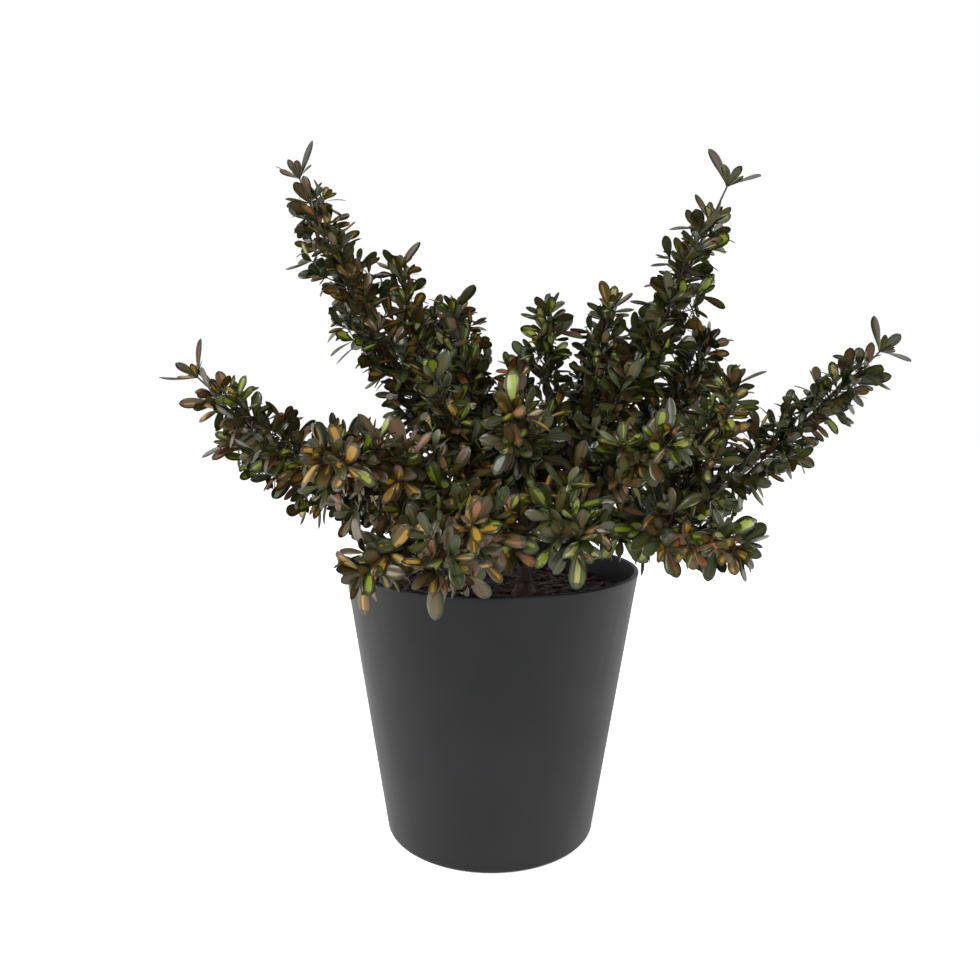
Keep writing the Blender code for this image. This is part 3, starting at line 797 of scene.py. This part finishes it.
def leaf_sheets(rows, seed):
    """Points and quads of all leaves of a piece, nine points along and seven across each.

    A point is root + way x length x share + side x half width x across + upper side x height.
    The height is a fold up from the midrib and a margin rolled down, less an arch along the
    leaf, plus a twist that grows towards the tip.
    """
    chance = np.random.default_rng(seed)
    root, along, above, length = (np.array(column) for column in list(zip(*rows))[:4])
    count = len(rows)
    side = np.cross(along, above)
    width = length * LEAF_WIDTH_SHARE * chance.uniform(*LEAF_WIDTHS, count)
    outer = chance.uniform(*MARGIN_EDGES, count)
    inner = chance.uniform(*CENTRE_EDGES, count)
    whole = np.ones(count)
    across = np.stack([-whole, -outer, -inner, 0 * whole, inner, outer, whole], -1)[:, None]
    half = (width[:, None] / 2 * leaf_half_width(LEAF_STATIONS))[:, :, None]
    arch = chance.uniform(*ARCHES, (count, 1)) * length[:, None] * LEAF_STATIONS ** 2
    fold = chance.uniform(*FOLDS, (count, 1, 1))
    height = half * (fold * np.abs(across) - MARGIN_ROLL * across ** 4) - arch[:, :, None]
    twist = chance.uniform(*TWISTS, (count, 1, 1))
    height = height + half * across * twist * LEAF_STATIONS[:, None]
    reach = (length[:, None] * LEAF_STATIONS)[:, :, None, None]
    points = root[:, None, None] + along[:, None, None] * reach + above[:, None, None] * height[..., None]
    points = points + side[:, None, None] * (half * across)[..., None]
    first = points.shape[1] * points.shape[2] * np.arange(count)[:, None, None]
    return points, (grid(*points.shape[1:3]) + first).reshape(-1, 4)


def blade_slots(names):
    """The material slots of the blade colours of these names."""
    slots = list(BLADES)
    return np.array([slots.index("leaf_" + name) for name in names])


def leaf_colours(centres, seed):
    """The colour slot of each quad, eight rows along and six strips across each leaf.

    The first and last rows, the outermost strips and the sides of the last row but one are the
    margin's. The rest has the colour between margin and centre, apart from the four middle rows:
    there the two middle strips have the centre's own colour, save a quarter of them, and some
    centres reach a strip further out in the two middle rows.
    """
    chance = np.random.default_rng(seed)
    count = len(centres)
    own = blade_slots(CENTRES)[centres]
    between = blade_slots(BETWEEN[name] for name in CENTRES)[centres]
    dark = chance.integers(0, 2, count)
    slots = np.tile(dark[:, None, None], (1, len(LEAF_STATIONS) - 1, 6))
    slots[:, 1:7, 1:5] = between[:, None, None]
    slots[:, 6, [1, 4]] = dark[:, None]
    for middle, beside in ((2, 1), (3, 4)):
        plain = chance.random(count) < PLAIN_STRIPS
        slots[:, 2:6, middle] = np.where(plain, between, own)[:, None]
        wide = (chance.random(count) < WIDE_CENTRES) & ~plain
        slots[:, 3:5, beside] = np.where(wide, own, between)[:, None]
    return slots.ravel()


# Leaf blade: waxy, with a soft gloss, one plain colour for each part of the leaf
blades = [finish(name, Base_Color=linear(colour), Roughness=0.40, Specular_IOR_Level=0.32,
                 Coat_Weight=0.18, Coat_Roughness=0.10)[0] for name, colour in BLADES.items()]

for number, side in enumerate(["left", "right", "centre", "front", "back"]):
    group = [growth for growth in growths if growth.arm.side == side]
    rows = [leaf for growth in group for leaf in growth.leaves]
    points, quads = leaf_sheets(rows, number)
    kinds = leaf_colours(np.array([leaf[4] for leaf in rows]), number)
    leaves = mesh_piece("leaves_" + side, points, quads, blades, kinds=kinds)
    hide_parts(*["foliage_" + growth.arm.name for growth in group])


# The floor: a plain pale sheet, far wider than the view, with a glow of its own as a light
# table has, so that it stays white under the grey overhead. It is not part of the plant.

FLOOR_REACH = 6

paper = finish("pale_floor", Base_Color=linear("#f8f8f7"), Roughness=0.9,
               Emission_Color=linear("#ffffff"), Emission_Strength=0.55)[0]
floor_mesh = bpy.data.meshes.new("floor")
floor_corners = [(x * FLOOR_REACH, y * FLOOR_REACH, 0) for x, y in ((-1, -1), (1, -1), (1, 1), (-1, 1))]
floor_mesh.from_pydata(floor_corners, [], [(0, 1, 2, 3)])
floor_mesh.materials.append(paper)
floor = bpy.data.objects.new("floor", floor_mesh)
bpy.context.scene.collection.objects.link(floor)


# The light: a wide soft box above the front, a tall one at each side that draws the two soft
# bands down the pot, and a pale sky.

def soft_box(name, place, target, width, height, power):
    """A rectangular lamp at a place, turned to face its target."""
    lamp = bpy.data.lights.new(name, "AREA")
    lamp.shape = "RECTANGLE"
    lamp.size, lamp.size_y, lamp.energy = width, height, power
    thing = bpy.data.objects.new(name, lamp)
    thing.location = place
    thing.rotation_euler = (Vector(target) - Vector(place)).to_track_quat("-Z", "Y").to_euler()
    bpy.context.scene.collection.objects.link(thing)


soft_box("key_light", (-0.5, -1.0, 1.5), (0, 0, 0.3), 0.7, 0.7, 24)
soft_box("left_light", (-1.1, -0.05, 0.45), (0, 0, 0.25), 0.5, 1.2, 8)
soft_box("right_light", (1.1, -0.05, 0.45), (0, 0, 0.25), 0.5, 1.2, 8)

# The sky is white around the horizon and grey overhead: the height of the direction sets it.
sky = bpy.data.worlds.new("pale_sky")
sky.use_nodes = True
heading = node(sky.node_tree, "TexCoord").outputs["Generated"]
height = node(sky.node_tree, "SeparateXYZ", Vector=heading).outputs["Z"]
shade = node(sky.node_tree, "ValToRGB", [(0.45, "#ffffff"), (0.80, "#74777c")], Fac=height)
sky.node_tree.links.new(shade.outputs["Color"], sky.node_tree.nodes["Background"].inputs["Color"])
bpy.context.scene.world = sky
bpy.context.scene.view_settings.view_transform = "Standard"


# The camera: at the photograph's place, fitted to the pot's rim and foot, looking a little down.

CAMERA_PLACE = Vector((0.0, -0.5498, 0.2890))
CAMERA_PITCH = 0.0977
CAMERA_YAW = -0.0032
CAMERA_ROLL = 0.0079
CAMERA_FOCUS_PIXELS = 804.7
IMAGE_PIXELS = 980

camera_data = bpy.data.cameras.new("camera")
camera_data.sensor_width = 36.0
camera_data.lens = CAMERA_FOCUS_PIXELS * camera_data.sensor_width / IMAGE_PIXELS
camera_data.clip_start = 0.02
camera = bpy.data.objects.new("camera", camera_data)
tilt = math.cos(CAMERA_PITCH)
ahead = Vector((math.sin(CAMERA_YAW) * tilt, math.cos(CAMERA_YAW) * tilt, -math.sin(CAMERA_PITCH)))
right = Vector((math.cos(CAMERA_YAW), -math.sin(CAMERA_YAW), 0))
up = right.cross(ahead)
rolled_right = right * math.cos(CAMERA_ROLL) + up * math.sin(CAMERA_ROLL)
rolled_up = up * math.cos(CAMERA_ROLL) - right * math.sin(CAMERA_ROLL)
turn = Matrix((rolled_right, rolled_up, -ahead)).transposed().to_4x4()
camera.matrix_world = Matrix.Translation(CAMERA_PLACE) @ turn
bpy.context.scene.collection.objects.link(camera)
bpy.context.scene.camera = camera
